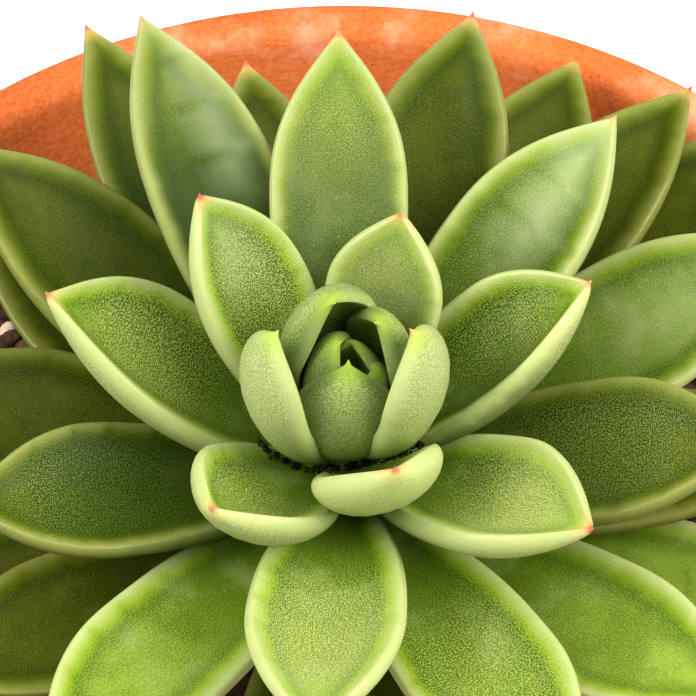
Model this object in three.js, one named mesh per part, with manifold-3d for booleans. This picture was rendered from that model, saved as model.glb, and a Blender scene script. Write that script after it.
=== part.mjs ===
// A potted miranda echeveria: one rosette of thick, spoon-shaped leaves on a short woody stem,
// growing in gritty soil in a terracotta pot. Millimetres, +Z up, origin at the centre of the
// pot's flat base. The camera of the reference view looks along +Y, with +X to its right.
import * as THREE from 'three';
import { mergeVertices } from 'three/addons/utils/BufferGeometryUtils.js';
import Module from 'manifold-3d';

const wasm = await Module();
wasm.setup();

// Pot
const POT_HEIGHT = 120;
const POT_BASE_RADIUS = 50;
const POT_NECK_RADIUS = 70;
const POT_RIM_RADIUS = 77;
const COLLAR = 27;
const COLLAR_LEDGE = 3;
const WALL = 5.5;
const FLOOR = 8;
const ROUNDING = 1.5;
const POT_SIDES = 56;
const DRAIN_RADIUS = 4.5;
const DRAIN_CIRCLE = 22;
const DRAIN_COUNT = 3;

// Soil
const SOIL_TOP = 102;
const GAP = 0.3;
const CRUMB_HEIGHT = 1.1;
const CRUMB_PITCH = { x: 10.3, y: 9.4 };
const WALL_DIP = 1.5;
const SOIL_RINGS = 10;
const SOIL_SPOKES = 36;
const GRIT_COUNT = 70;
const GRIT_SIZE = 1.5;
const GRIT_NEAREST = 12;
const GRIT_SPREAD = 52;

// Stem
const STEM_RADIUS = 6.5;
const STEM_TOP = 109;
const STEM_DEPTH = 22;
const STEM_SIDES = 16;
const SCAR_COUNT = 4;
const SCAR_DEPTH = 0.8;

// Rosette: leaf 0 is the innermost, and each next one stands a golden angle further round
const LEAF_COUNT = 46;
const GOLDEN_ANGLE = 137.5;
const FIRST_AZIMUTH = 87.5;
const HEART_HEIGHT = 134;
const HEART_LEAF = 8;
const INTERNODE = 0.6;
const ROOT = 2;
const LEAF_STATIONS = 6;
const LEAF_SIDES = 10;
const WIDEST_AT = 0.58;
const BASE_WIDTH = 0.4;
const THICKEST_AT = 0.35;
const BASE_THICKNESS = 0.7;
const UPPER_SHARE = 0.25;
const SHOOT_MARGIN = 0.9;

// Smooth changes from the heart outwards, as [leaf, value] pairs
const GROWTH = {
  reach: [[0, 0.8], [4, 2.2], [8, 4], [16, 6], [30, 7.5], [48, 8]],
  length: [[0, 9], [4, 19], [7, 23], [8, 27], [12, 36], [16, 44], [20, 47], [30, 49], [48, 44]],
  width: [[0, 5], [4, 12], [7, 14], [8, 15], [12, 17], [16, 18], [30, 19], [48, 18]],
  rise: [[0, 80], [4, 62], [7, 56], [8, 46], [12, 30], [16, 20], [30, 2], [48, -12]],
  tipRise: [[0, 95], [4, 125], [7, 112], [8, 75], [12, 52], [16, 36], [30, 16], [48, 4]],
  wrap: [[0, 60], [7, 55], [8, 42], [16, 32], [30, 26], [48, 22]],
  thickness: [[0, 1.8], [4, 2.7], [8, 3.3], [16, 3.7], [48, 3.5]],
};

// Leaves that stand a little apart from the rule on the real plant: degrees and millimetres
const DEPARTURES = {
  0: { azimuth: 70, length: 12.5, width: 9, rise: 66, tipRise: 112, reach: 1.2, wrap: 66 },
  1: { azimuth: -20, length: 12.5, width: 8.5, rise: 67, tipRise: 105, reach: 1.6, wrap: 66 },
  2: { azimuth: 172, length: 16.2, width: 11.5, rise: 72, tipRise: 124, reach: 1.6, sway: -0.6 },
  3: { azimuth: 40, length: 19.2, width: 12, rise: 57, tipRise: 131, reach: 3.4, wrap: 64,
       roll: -14, sway: -0.6 },
  4: { azimuth: -93, length: 18.7, width: 12.3, rise: 57, tipRise: 134, reach: 2.2, wrap: 60,
       sway: 0.5 },
  5: { azimuth: 119, length: 24, width: 14.8, rise: 56.5, tipRise: 137, reach: 3.2, wrap: 72,
       roll: 18, sway: -0.3 },
  6: { azimuth: -21, length: 26.3, width: 13.4, rise: 50, tipRise: 118, reach: 3, lift: 1 },
  7: { azimuth: 204.5, length: 26.7, width: 12, rise: 52, tipRise: 116, reach: 3.2, wrap: 50,
       sway: -0.5, lift: 0.8 },
  8: { turn: 1.5, length: 26.2, width: 14.2, rise: 45, tipRise: 75.5, wrap: 37 },
  9: { turn: -3, length: 27.2, width: 15.6, rise: 42, tipRise: 78, wrap: 48, roll: 3 },
  10: { turn: -20.5, length: 33.4, width: 15.5, rise: 44, tipRise: 72.5, roll: 12.5, sway: 1.4,
        lift: -0.3 },
  11: { turn: 3.5, length: 32, width: 18.2, rise: 29.5, tipRise: 53.5, wrap: 67, roll: -10,
        sway: -0.3, lift: 0.5 },
  12: { turn: -7, length: 26, width: 17.8, rise: 26.5, tipRise: 64, wrap: 54, sway: 0.6, lift: 0.4 },
  13: { turn: -8, length: 45, width: 16.8, rise: 31.5, tipRise: 48, wrap: 38, roll: -4, sway: -0.7 },
  14: { turn: 0.5, length: 33.7, width: 18.1, rise: 25, tipRise: 39, wrap: 63, roll: 3, sway: -0.5,
        lift: 0.8 },
  15: { turn: -19, length: 36.6, width: 19.4, rise: 28, tipRise: 49, wrap: 53, roll: 15.5 },
  16: { length: 46, width: 17.8, rise: 25.6, tipRise: 30.7, wrap: 43, roll: -3, sway: -0.2 },
  17: { turn: -4.5, length: 43, width: 19, rise: 20, tipRise: 31, wrap: 50, lift: 0.4 },
  18: { turn: -13, length: 52.5, width: 16.4, rise: 33.7, tipRise: 41.8, wrap: 33, roll: -3.6,
        lift: 0.2 },
  19: { turn: -2.5, length: 43.7, width: 20.5, rise: 16.2, tipRise: 30.7, wrap: 35.5, sway: -0.5 },
  20: { turn: -24, length: 40.2, width: 18.2, rise: 9.7, tipRise: 25, wrap: 44, roll: -7.7,
        sway: 1.1, lift: 0.6 },
  21: { turn: -7, length: 52, width: 19, rise: 20, tipRise: 38, wrap: 40 },
  22: { turn: -5, length: 48, width: 18.5, rise: 8, tipRise: 22, wrap: 30 },
  23: { turn: -21.5, length: 53.5, width: 19.1, rise: 18, tipRise: 34, wrap: 31 },
  24: { turn: -2.5, length: 53.5, width: 20.8, rise: 10, tipRise: 26, wrap: 31 },
  25: { turn: -19, length: 48, width: 18.4, rise: 8, tipRise: 20, wrap: 33, sway: 1.2 },
  26: { turn: -9, width: 17, rise: 14, tipRise: 32 },
  27: { turn: -12, length: 50, width: 18.5, rise: 5.5, tipRise: 18, wrap: 34, roll: 8 },
  28: { turn: -28.5, length: 48, width: 20.5, rise: 3.5, tipRise: 19 },
  29: { turn: -8.5, length: 61, width: 19, rise: 8, tipRise: 14, wrap: 40, roll: -8, sway: -0.9,
        lift: 0.7 },
  30: { turn: 7.5, rise: 0, tipRise: 13 },
  31: { turn: -26, length: 61, width: 16.5, rise: 13, tipRise: 25, wrap: 30 },
  33: { turn: -22 },
  36: { turn: -38, length: 52.5, width: 18, rise: 2, tipRise: 15 },
  37: { turn: 5, length: 62, width: 21, rise: 6, tipRise: 20 },
  39: { turn: -16 },
  40: { turn: -2.5, length: 50, width: 19, rise: 0, tipRise: 14 },
  41: { turn: -20 },
  42: { turn: -7, length: 64, width: 21, rise: 5, tipRise: 14 },
  44: { turn: -22 },
};

const degrees = THREE.MathUtils.degToRad;

function along(pairs, x) {
  const next = pairs.findIndex(([at]) => at >= x);
  if (next <= 0) {
    return pairs[0][1];
  }
  const [x0, y0] = pairs[next - 1];
  const [x1, y1] = pairs[next];
  return y0 + (y1 - y0) * (x - x0) / (x1 - x0);
}

// A repeatable draw between 0 and 1 for item i
function draw(i, salt) {
  const s = Math.sin(i * 12.9898 + salt * 78.233) * 43758.5453;
  return s - Math.floor(s);
}

function leafShape(n) {
  const shape = { azimuth: FIRST_AZIMUTH - GOLDEN_ANGLE * n, turn: 0, lift: 0, roll: 0, sway: 0 };
  for (const [name, pairs] of Object.entries(GROWTH)) {
    shape[name] = along(pairs, n);
  }
  Object.assign(shape, DEPARTURES[n]);
  shape.azimuth += shape.turn;
  shape.height = HEART_HEIGHT - INTERNODE * (n - HEART_LEAF) + shape.lift;
  return shape;
}

// Half-width along the leaf as a fraction of its widest: it swells, then closes to a blunt point
function spoon(s) {
  if (s < WIDEST_AT) {
    const q = 1 - Math.max(s, 0) / WIDEST_AT;
    return BASE_WIDTH + (1 - BASE_WIDTH) * (1 - q * q);
  }
  const u = (s - WIDEST_AT) / (1 - WIDEST_AT);
  return Math.max(0, 1 - u ** 2.1) ** 0.9 * (1 - 0.25 * u ** 6);
}

// Thickness along the leaf: thinner where it leaves the stem and at the tip
function flesh(s) {
  if (s < THICKEST_AT) {
    const t = Math.max(s, 0) / THICKEST_AT;
    return BASE_THICKNESS + (1 - BASE_THICKNESS) * Math.sin(t * Math.PI / 2);
  }
  const u = (s - THICKEST_AT) / (1 - THICKEST_AT);
  return Math.max(0, 1 - u ** 3) ** 0.8;
}

// Points of the midrib from its root: [radius, height, rise], bending evenly up to the tip
function midrib(shape, stops) {
  const steps = 200;
  const riseAt = (s) => degrees(shape.rise + (shape.tipRise - shape.rise) * Math.max(s, 0) ** 1.3);
  const points = [];
  let r = shape.reach - ROOT * Math.cos(riseAt(0));
  let z = shape.height - ROOT * Math.sin(riseAt(0));
  let s = -ROOT / shape.length;
  for (const stop of stops) {
    const step = (stop - s) / steps;
    for (let i = 0; i < steps; i += 1) {
      const rise = riseAt(s + step / 2);
      r += Math.cos(rise) * step * shape.length;
      z += Math.sin(rise) * step * shape.length;
      s += step;
    }
    s = stop;
    points.push([r, z, riseAt(stop)]);
  }
  return points;
}

// One leaf as rings of points round its midrib, each ring a lens bent into a shallow channel
function leafGeometry(shape) {
  const first = -ROOT / shape.length;
  const stops = [first];
  for (let i = 0; i < LEAF_STATIONS; i += 1) {
    const t = (i + 0.4) / (LEAF_STATIONS - 0.35);
    stops.push(1 - (1 - t) ** 1.25);
  }
  const azimuth = degrees(shape.azimuth);
  const out = new THREE.Vector3(Math.cos(azimuth), Math.sin(azimuth), 0);
  const up = new THREE.Vector3(0, 0, 1);
  const side = up.clone().cross(out);
  const wrap = degrees(shape.wrap);
  const positions = [];
  const centre = (r, z, s) => out.clone().multiplyScalar(r).addScaledVector(up, z)
    .addScaledVector(side, shape.sway * s * s);
  const places = midrib(shape, [...stops, 1]);
  stops.forEach((s, k) => {
    const [r, z, rise] = places[k];
    const roll = degrees(shape.roll * Math.max(s, 0));
    const normal = out.clone().multiplyScalar(-Math.sin(rise)).addScaledVector(up, Math.cos(rise));
    const across = side.clone().multiplyScalar(Math.cos(roll)).addScaledVector(normal, Math.sin(roll));
    normal.multiplyScalar(Math.cos(roll)).addScaledVector(side, -Math.sin(roll));
    const half = shape.width / 2 * spoon(s);
    const thick = shape.thickness * flesh(s) + 0.3;
    for (let j = 0; j < LEAF_SIDES; j += 1) {
      const turn = 2 * Math.PI * j / LEAF_SIDES;
      const v = Math.sign(Math.cos(turn)) * Math.abs(Math.cos(turn)) ** 0.8;
      const bend = v * wrap;
      const face = Math.sin(turn) > 1e-9
        ? UPPER_SHARE * thick * Math.sqrt(1 - v ** 4)
        : (UPPER_SHARE - 1) * thick * Math.sqrt(Math.max(0, 1 - Math.abs(v) ** 3));
      const x = half / wrap * Math.sin(bend) - Math.sin(bend) * face;
      const y = half / wrap * (1 - Math.cos(bend)) + Math.cos(bend) * face;
      positions.push(...centre(r, z, s).addScaledVector(across, x).addScaledVector(normal, y));
    }
  });
  const [tipRadius, tipHeight] = places[stops.length];
  const root = positions.length / 3;
  positions.push(...centre(places[0][0], places[0][1], 0));
  positions.push(...centre(tipRadius, tipHeight, 1));
  const faces = [];
  for (let k = 0; k < stops.length - 1; k += 1) {
    for (let j = 0; j < LEAF_SIDES; j += 1) {
      const a = k * LEAF_SIDES + j;
      const b = k * LEAF_SIDES + (j + 1) % LEAF_SIDES;
      const c = a + LEAF_SIDES;
      const d = b + LEAF_SIDES;
      faces.push(a, b, c, b, d, c);
    }
  }
  const last = (stops.length - 1) * LEAF_SIDES;
  for (let j = 0; j < LEAF_SIDES; j += 1) {
    const next = (j + 1) % LEAF_SIDES;
    faces.push(root, next, j);
    faces.push(root + 1, last + j, last + next);
  }
  const geometry = new THREE.BufferGeometry();
  geometry.setAttribute('position', new THREE.Float32BufferAttribute(positions, 3));
  geometry.setIndex(faces);
  return geometry;
}

function toSolid(geometry) {
  const bare = geometry.clone();
  bare.deleteAttribute('normal');
  bare.deleteAttribute('uv');
  const merged = mergeVertices(bare, 1e-4);
  return new wasm.Manifold(new wasm.Mesh({
    numProp: 3,
    vertProperties: new Float32Array(merged.attributes.position.array),
    triVerts: new Uint32Array(merged.index.array),
  }));
}

function toGeometry(solid) {
  const mesh = solid.getMesh();
  const geometry = new THREE.BufferGeometry();
  geometry.setAttribute('position', new THREE.Float32BufferAttribute(mesh.vertProperties, 3));
  geometry.setIndex([...mesh.triVerts]);
  return geometry;
}

// A solid of revolution about Z from [radius, height] points that start and end on the axis
function turned(points, sides) {
  const profile = points.map(([r, z]) => new THREE.Vector2(r, z));
  return new THREE.LatheGeometry(profile, sides).rotateX(Math.PI / 2);
}

function piece(name, geometry, color, roughness) {
  const material = new THREE.MeshStandardMaterial({ color, roughness, metalness: 0 });
  const mesh = new THREE.Mesh(geometry, material);
  mesh.name = name;
  return mesh;
}

// Keeps the one large body of a joined solid, and so fills pockets and drops loose scraps
function largest(solid) {
  return solid.decompose().sort((a, b) => b.volume() - a.volume())[0];
}

function innerRadius(z) {
  const t = (z - FLOOR) / (POT_HEIGHT - FLOOR);
  return POT_BASE_RADIUS - WALL + (POT_RIM_RADIUS - POT_BASE_RADIUS) * t;
}

function makePot() {
  const collarFoot = POT_HEIGHT - COLLAR;
  const collarRadius = POT_RIM_RADIUS - COLLAR_LEDGE + 1;
  const lip = POT_RIM_RADIUS - WALL;
  const profile = [
    [0, 0],
    [POT_BASE_RADIUS - 1, 0],
    [POT_BASE_RADIUS, 1],
    [POT_NECK_RADIUS, collarFoot - 1],
    [collarRadius - 1, collarFoot],
    [collarRadius, collarFoot + 1],
    [POT_RIM_RADIUS, POT_HEIGHT - ROUNDING],
    [POT_RIM_RADIUS - ROUNDING / 3, POT_HEIGHT - ROUNDING / 3],
    [POT_RIM_RADIUS - ROUNDING, POT_HEIGHT],
    [lip + ROUNDING, POT_HEIGHT],
    [lip + ROUNDING / 3, POT_HEIGHT - ROUNDING / 3],
    [innerRadius(POT_HEIGHT - 2 * ROUNDING), POT_HEIGHT - 2 * ROUNDING],
    [innerRadius(FLOOR + 3), FLOOR + 3],
    [innerRadius(FLOOR) - 3, FLOOR],
    [0, FLOOR],
  ];
  let pot = toSolid(turned(profile, POT_SIDES));
  for (let i = 0; i < DRAIN_COUNT; i += 1) {
    const around = 2 * Math.PI * (i + 0.25) / DRAIN_COUNT;
    const hole = new THREE.CylinderGeometry(DRAIN_RADIUS, DRAIN_RADIUS, FLOOR * 3, 20);
    hole.rotateX(Math.PI / 2);
    hole.translate(DRAIN_CIRCLE * Math.cos(around), DRAIN_CIRCLE * Math.sin(around), 0);
    pot = pot.subtract(toSolid(hole));
  }
  return toGeometry(pot);
}

// The soil's top: crumbly waves in two wandering directions, falling a little towards the wall
function soilHeight(x, y) {
  const wave = (at, pitch, wander) => Math.sin(2 * Math.PI * at / pitch + 2 * Math.sin(wander / 5));
  const crumbs = CRUMB_HEIGHT * wave(x, CRUMB_PITCH.x, y) * wave(y, CRUMB_PITCH.y, x);
  const dip = WALL_DIP * (Math.hypot(x, y) / innerRadius(SOIL_TOP)) ** 4;
  return SOIL_TOP + crumbs - dip;
}

// Mineral grit lies in the soil's surface, mostly towards the wall
function gritPlace(i) {
  const radius = GRIT_NEAREST + GRIT_SPREAD * Math.sqrt(draw(i, 1));
  const around = degrees(GOLDEN_ANGLE * i + 20 * draw(i, 2));
  return [radius * Math.cos(around), radius * Math.sin(around)];
}

function makeSoil() {
  const edge = innerRadius(SOIL_TOP) - GAP - 1.2;
  const profile = [
    [0, FLOOR + GAP],
    [innerRadius(FLOOR) - 3.5, FLOOR + GAP],
    [innerRadius(FLOOR + 4) - GAP - 0.6, FLOOR + 4],
    [edge, SOIL_TOP - 2],
  ];
  for (let k = SOIL_RINGS; k >= 0; k -= 1) {
    profile.push([edge * k / SOIL_RINGS, SOIL_TOP]);
  }
  const body = turned(profile, SOIL_SPOKES);
  const place = body.attributes.position;
  for (let i = 0; i < place.count; i += 1) {
    if (place.getZ(i) > SOIL_TOP - 0.01) {
      place.setZ(i, soilHeight(place.getX(i), place.getY(i)));
    }
  }
  let soil = toSolid(body);
  for (let i = 0; i < GRIT_COUNT; i += 1) {
    const [x, y] = gritPlace(i);
    const grain = new THREE.IcosahedronGeometry(GRIT_SIZE * (0.7 + 0.7 * draw(i, 3)), 0);
    grain.scale(1, 0.8, 0.7);
    grain.rotateZ(2 * Math.PI * draw(i, 4));
    grain.translate(x, y, soilHeight(x, y) + GRIT_SIZE / 5);
    soil = soil.add(toSolid(grain));
  }
  const bore = STEM_RADIUS + GAP;
  const hole = new THREE.CylinderGeometry(bore, bore, 2 * STEM_DEPTH, STEM_SIDES);
  hole.rotateX(Math.PI / 2);
  hole.translate(0, 0, SOIL_TOP + GAP / 2);
  return toGeometry(largest(soil.subtract(toSolid(hole))));
}

// The bare stem steps in and out where old leaves have dropped
function makeStem() {
  const foot = SOIL_TOP - STEM_DEPTH + GAP + 0.5;
  const bare = SOIL_TOP + 2;
  const profile = [
    [0, foot],
    [STEM_RADIUS * 0.8, foot],
    [STEM_RADIUS, foot + 3],
  ];
  for (let i = 0; i < SCAR_COUNT; i += 1) {
    const z = bare + (STEM_TOP - 1 - bare) * i / SCAR_COUNT;
    profile.push([STEM_RADIUS - 0.1 - SCAR_DEPTH, z]);
    profile.push([STEM_RADIUS - 0.1, z + 1.1]);
  }
  profile.push([STEM_RADIUS - 0.6, STEM_TOP], [0, STEM_TOP]);
  return turned(profile, STEM_SIDES);
}

// The shoot tip that the leaves grow from, a little wider than where each leaf's blade begins
function makeShoot() {
  const profile = [[0, STEM_TOP + GAP], [STEM_RADIUS, STEM_TOP + GAP]];
  for (let n = LEAF_COUNT - 2; n >= 0; n -= 4) {
    const height = HEART_HEIGHT - INTERNODE * (n - HEART_LEAF);
    profile.push([along(GROWTH.reach, n) + SHOOT_MARGIN, height]);
  }
  profile.push([0, HEART_HEIGHT + INTERNODE * HEART_LEAF + SHOOT_MARGIN]);
  return turned(profile, STEM_SIDES);
}

function makeRosette() {
  const parts = [toSolid(makeShoot())];
  for (let n = 0; n < LEAF_COUNT; n += 1) {
    parts.push(toSolid(leafGeometry(leafShape(n))));
  }
  return toGeometry(largest(wasm.Manifold.union(parts)));
}

const group = new THREE.Group();
group.add(piece('pot', makePot(), 0xb5623a, 0.85));
group.add(piece('soil', makeSoil(), 0x4a3828, 0.95));
group.add(piece('stem', makeStem(), 0x8a7350, 0.8));
group.add(piece('rosette', makeRosette(), 0x7f9a4e, 0.45));

export default group;
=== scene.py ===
# %% [markdown]
# # A potted miranda echeveria
# A rosette of thick, waxy, spoon-shaped leaves in a terracotta pot. The solids of the pot, the
# soil, the stem and the rosette come packed as a frame, in metres, with the origin at the centre
# of the pot's base. This lesson dresses them: each leaf gets its fleshy margin, its small red
# point and its speckled skin, and the pot, the soil and the stem get the surfaces of the real
# things. We look from the -Y side, with +X to the right.

# %% Load the frame
import math

import bpy
import numpy as np
from mathutils import Matrix, Vector
from mathutils.bvhtree import BVHTree


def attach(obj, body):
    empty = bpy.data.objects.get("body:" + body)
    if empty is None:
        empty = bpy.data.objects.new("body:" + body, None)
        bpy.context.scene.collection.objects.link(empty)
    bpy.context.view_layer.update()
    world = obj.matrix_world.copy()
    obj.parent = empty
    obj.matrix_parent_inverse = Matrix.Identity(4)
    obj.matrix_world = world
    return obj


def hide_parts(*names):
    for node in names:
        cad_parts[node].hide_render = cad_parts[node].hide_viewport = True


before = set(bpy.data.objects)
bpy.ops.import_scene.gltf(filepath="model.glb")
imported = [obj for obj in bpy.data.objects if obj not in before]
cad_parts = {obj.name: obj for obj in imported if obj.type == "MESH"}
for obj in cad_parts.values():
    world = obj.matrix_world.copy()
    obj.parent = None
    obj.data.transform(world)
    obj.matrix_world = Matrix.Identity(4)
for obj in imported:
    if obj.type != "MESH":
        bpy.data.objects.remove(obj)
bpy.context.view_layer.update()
BODY = "root"
MM = 0.001

# %% [markdown]
# ## Where we stand
# The photograph looks down at the heart of the rosette from about 57 degrees above the horizon.
# Its heart sits a little below the picture's middle, so the camera is aimed slightly higher than
# the heart, which keeps the lens free of any shift. A long lens from 450 mm away gives the mild
# perspective of a close-up.

# %% Camera
PICTURE = 696
HEART = Vector((0, 0, 134 * MM))
HEART_PIXEL = (345, 440)
PIXELS_PER_METRE = 8700
DISTANCE = 450 * MM
ELEVATION = math.radians(57)
SENSOR = 36
NEAREST = 10 * MM


def add_camera():
    """A camera whose picture has the heart at its pixel, at the photograph's scale."""
    forward = Vector((0, math.cos(ELEVATION), -math.sin(ELEVATION)))
    right = Vector((1, 0, 0))
    above = right.cross(forward)
    place = HEART - forward * DISTANCE
    middle = PICTURE / 2
    across = (middle - HEART_PIXEL[0]) / PIXELS_PER_METRE
    upward = (HEART_PIXEL[1] - middle) / PIXELS_PER_METRE
    aim = HEART + right * across + above * upward
    bpy.ops.object.camera_add(location=place)
    camera = bpy.context.object
    camera.name = "camera"
    camera.rotation_euler = (aim - place).to_track_quat("-Z", "Y").to_euler()
    camera.data.sensor_width = SENSOR
    camera.data.lens = SENSOR * PIXELS_PER_METRE * DISTANCE / PICTURE
    camera.data.clip_start = NEAREST
    bpy.context.scene.camera = camera
    return camera


def deselect():
    """Nothing selected, and no object in edit mode."""
    if bpy.context.object and bpy.context.object.mode != "OBJECT":
        bpy.ops.object.mode_set(mode="OBJECT")
    bpy.ops.object.select_all(action="DESELECT")


deselect()
camera = add_camera()
print("lens:", round(camera.data.lens, 1), "mm")

# %% [markdown]
# ## Light and floor
# Two broad soft boxes light the plant from both sides, the right one stronger, so that each waxy
# leaf has a bright flank and a darker one. A weak third one hangs overhead, and a faint pale world
# fills the shadows. The floor is plain and pale, and it isn't part of the object.

# %% Light and floor
PANELS = {
    "right_box": dict(place=(0.8, -0.2, 0.85), size=0.9, power=22, color=(1, 0.97, 0.88)),
    "left_box": dict(place=(-0.8, -0.2, 0.8), size=0.9, power=18, color=(1, 0.98, 0.91)),
    "sky_box": dict(place=(0, 0.12, 1.1), size=0.8, power=6, color=(1, 1, 0.96)),
}
ROOM_COLOR = (0.93, 0.95, 0.9, 1)
ROOM_STRENGTH = 0.1
FLOOR_SIZE = 3


def add_panel(name, place, size, power, color):
    """A square light panel that faces the heart."""
    bpy.ops.object.light_add(type="AREA", location=place)
    panel = bpy.context.object
    panel.name = name
    panel.rotation_euler = (HEART - Vector(place)).to_track_quat("-Z", "Y").to_euler()
    panel.data.size = size
    panel.data.energy = power
    panel.data.color = color
    return panel


for name, panel in PANELS.items():
    add_panel(name, **panel)

room = bpy.data.worlds.new("pale_room")
room.use_nodes = True
background = room.node_tree.nodes["Background"]
background.inputs["Color"].default_value = ROOM_COLOR
background.inputs["Strength"].default_value = ROOM_STRENGTH
bpy.context.scene.world = room
bpy.context.scene.view_settings.view_transform = "Standard"

bpy.ops.mesh.primitive_plane_add(size=FLOOR_SIZE, location=(0, 0, 0))
floor = bpy.context.object
floor.name = "floor"

# %% [markdown]
# ## Writing materials as sums
# A material is a network of nodes. It reads best as a sum, so a small class wraps a socket and
# lets us write 1 - mask or rim * 0.5. Colours are written as they look on screen, in red, green
# and blue from 0 to 255, and are turned to the linear numbers that the shader wants.

# %% A socket that can be added and multiplied
def tint(red, green, blue):
    """A screen colour as linear red, green, blue and alpha."""
    def linear(c):
        c /= 255
        return c / 12.92 if c <= 0.04045 else ((c + 0.055) / 1.055) ** 2.4
    return (linear(red), linear(green), linear(blue), 1.0)


class Wire:
    """An output socket of a node tree, with arithmetic that adds Math nodes."""

    def __init__(self, tree, socket):
        self.tree = tree
        self.socket = socket

    def maths(self, operation, *values):
        node = self.tree.nodes.new("ShaderNodeMath")
        node.operation = operation
        for slot, value in zip(node.inputs, values):
            if isinstance(value, Wire):
                self.tree.links.new(value.socket, slot)
            else:
                slot.default_value = value
        return Wire(self.tree, node.outputs[0])

    def __add__(self, other):
        return self.maths("ADD", self, other)

    def __sub__(self, other):
        return self.maths("SUBTRACT", self, other)

    def __rsub__(self, other):
        return self.maths("SUBTRACT", other, self)

    def __mul__(self, other):
        return self.maths("MULTIPLY", self, other)

    __radd__ = __add__
    __rmul__ = __mul__

    def size(self):
        return self.maths("ABSOLUTE", self)


class Finish:
    """A named material whose Principled shader is at hand, with short ways to add nodes."""

    def __init__(self, name, slot_name):
        self.material = bpy.data.materials.new(name)
        self.material.use_nodes = True
        self.tree = self.material.node_tree
        self.shader = self.tree.nodes["Principled BSDF"]
        self.slot_name = slot_name

    def node(self, kind, settings=None, output=0, **inputs):
        """Any node: its settings first, then its inputs as numbers, tuples or wires."""
        node = self.tree.nodes.new("ShaderNode" + kind)
        for key, value in (settings or {}).items():
            setattr(node, key, value)
        for key, value in inputs.items():
            slot = node.inputs[key.replace("_", " ")]
            if isinstance(value, Wire):
                self.tree.links.new(value.socket, slot)
            else:
                slot.default_value = value
        return Wire(self.tree, node.outputs[output])

    def parts(self, vector):
        """The three numbers of a vector."""
        node = self.tree.nodes.new("ShaderNodeSeparateXYZ")
        self.tree.links.new(vector.socket, node.inputs[0])
        return [Wire(self.tree, out) for out in node.outputs]

    def read(self, name):
        """An attribute of the mesh, as a vector."""
        return self.node("Attribute", {"attribute_name": name}, output="Vector")

    def step(self, value, low, high):
        """0 below low, 1 above high and a smooth rise between them. low may be the larger."""
        node = self.tree.nodes.new("ShaderNodeMapRange")
        node.interpolation_type = "SMOOTHSTEP"
        self.tree.links.new(value.socket, node.inputs["Value"])
        node.inputs["From Min"].default_value = low
        node.inputs["From Max"].default_value = high
        return Wire(self.tree, node.outputs[0])

    def blend(self, amount, first, second):
        """first where amount is 0 and second where it is 1, for colours."""
        node = self.tree.nodes.new("ShaderNodeMix")
        node.data_type = "RGBA"
        pairs = ((node.inputs[0], amount), (node.inputs[6], first), (node.inputs[7], second))
        for slot, value in pairs:
            if isinstance(value, Wire):
                self.tree.links.new(value.socket, slot)
            else:
                slot.default_value = value
        return Wire(self.tree, node.outputs[2])

    def noise(self, vector, scale, detail=2.0, rough=0.5):
        return self.node("TexNoise", {"noise_dimensions": "3D"}, output="Fac",
                         Vector=vector, Scale=scale, Detail=detail, Roughness=rough)

    def bump(self, height, strength, distance, under=None):
        inputs = {"Height": height, "Strength": strength, "Distance": distance}
        if under is not None:
            inputs["Normal"] = under
        return self.node("Bump", output="Normal", **inputs)

    def feed(self, **inputs):
        """Wires or fixed values for the shader's own sockets."""
        for key, value in inputs.items():
            slot = self.shader.inputs[key.replace("_", " ")]
            if isinstance(value, Wire):
                self.tree.links.new(value.socket, slot)
            else:
                slot.default_value = value

    def dress(self, piece):
        """Puts this finish on a piece."""
        piece.data.materials.clear()
        piece.data.materials.append(self.material)
        return piece


print("helpers ready")

# %% [markdown]
# ## How the rosette grows
# Each leaf stands a golden angle, 137.5 degrees, further round than the one above it, which is
# how the real plant fits its leaves together. Inner leaves are short, steep and curled over the
# heart, and outer ones long, flat and wide. These are the same few numbers that the solids were
# made from, in millimetres and degrees, so each fine leaf lies where its plain solid lies.

# %% The rule of the spiral
LEAF_COUNT = 46
GOLDEN_ANGLE = 137.5
FIRST_AZIMUTH = 87.5
HEART_HEIGHT = 134
HEART_LEAF = 8
INTERNODE = 0.6
ROOT = 2
WIDEST_AT = 0.58
BASE_WIDTH = 0.4

GROWTH = {
    "reach": [(0, 0.8), (4, 2.2), (8, 4), (16, 6), (30, 7.5), (48, 8)],
    "length": [(0, 9), (4, 19), (7, 23), (8, 27), (12, 36), (16, 44), (20, 47), (30, 49),
               (48, 44)],
    "width": [(0, 5), (4, 12), (7, 14), (8, 15), (12, 17), (16, 18), (30, 19), (48, 18)],
    "rise": [(0, 80), (4, 62), (7, 56), (8, 46), (12, 30), (16, 20), (30, 2), (48, -12)],
    "tip_rise": [(0, 95), (4, 125), (7, 112), (8, 75), (12, 52), (16, 36), (30, 16), (48, 4)],
    "wrap": [(0, 60), (7, 55), (8, 42), (16, 32), (30, 26), (48, 22)],
    "thickness": [(0, 1.8), (4, 2.7), (8, 3.3), (16, 3.7), (48, 3.5)],
}

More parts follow.
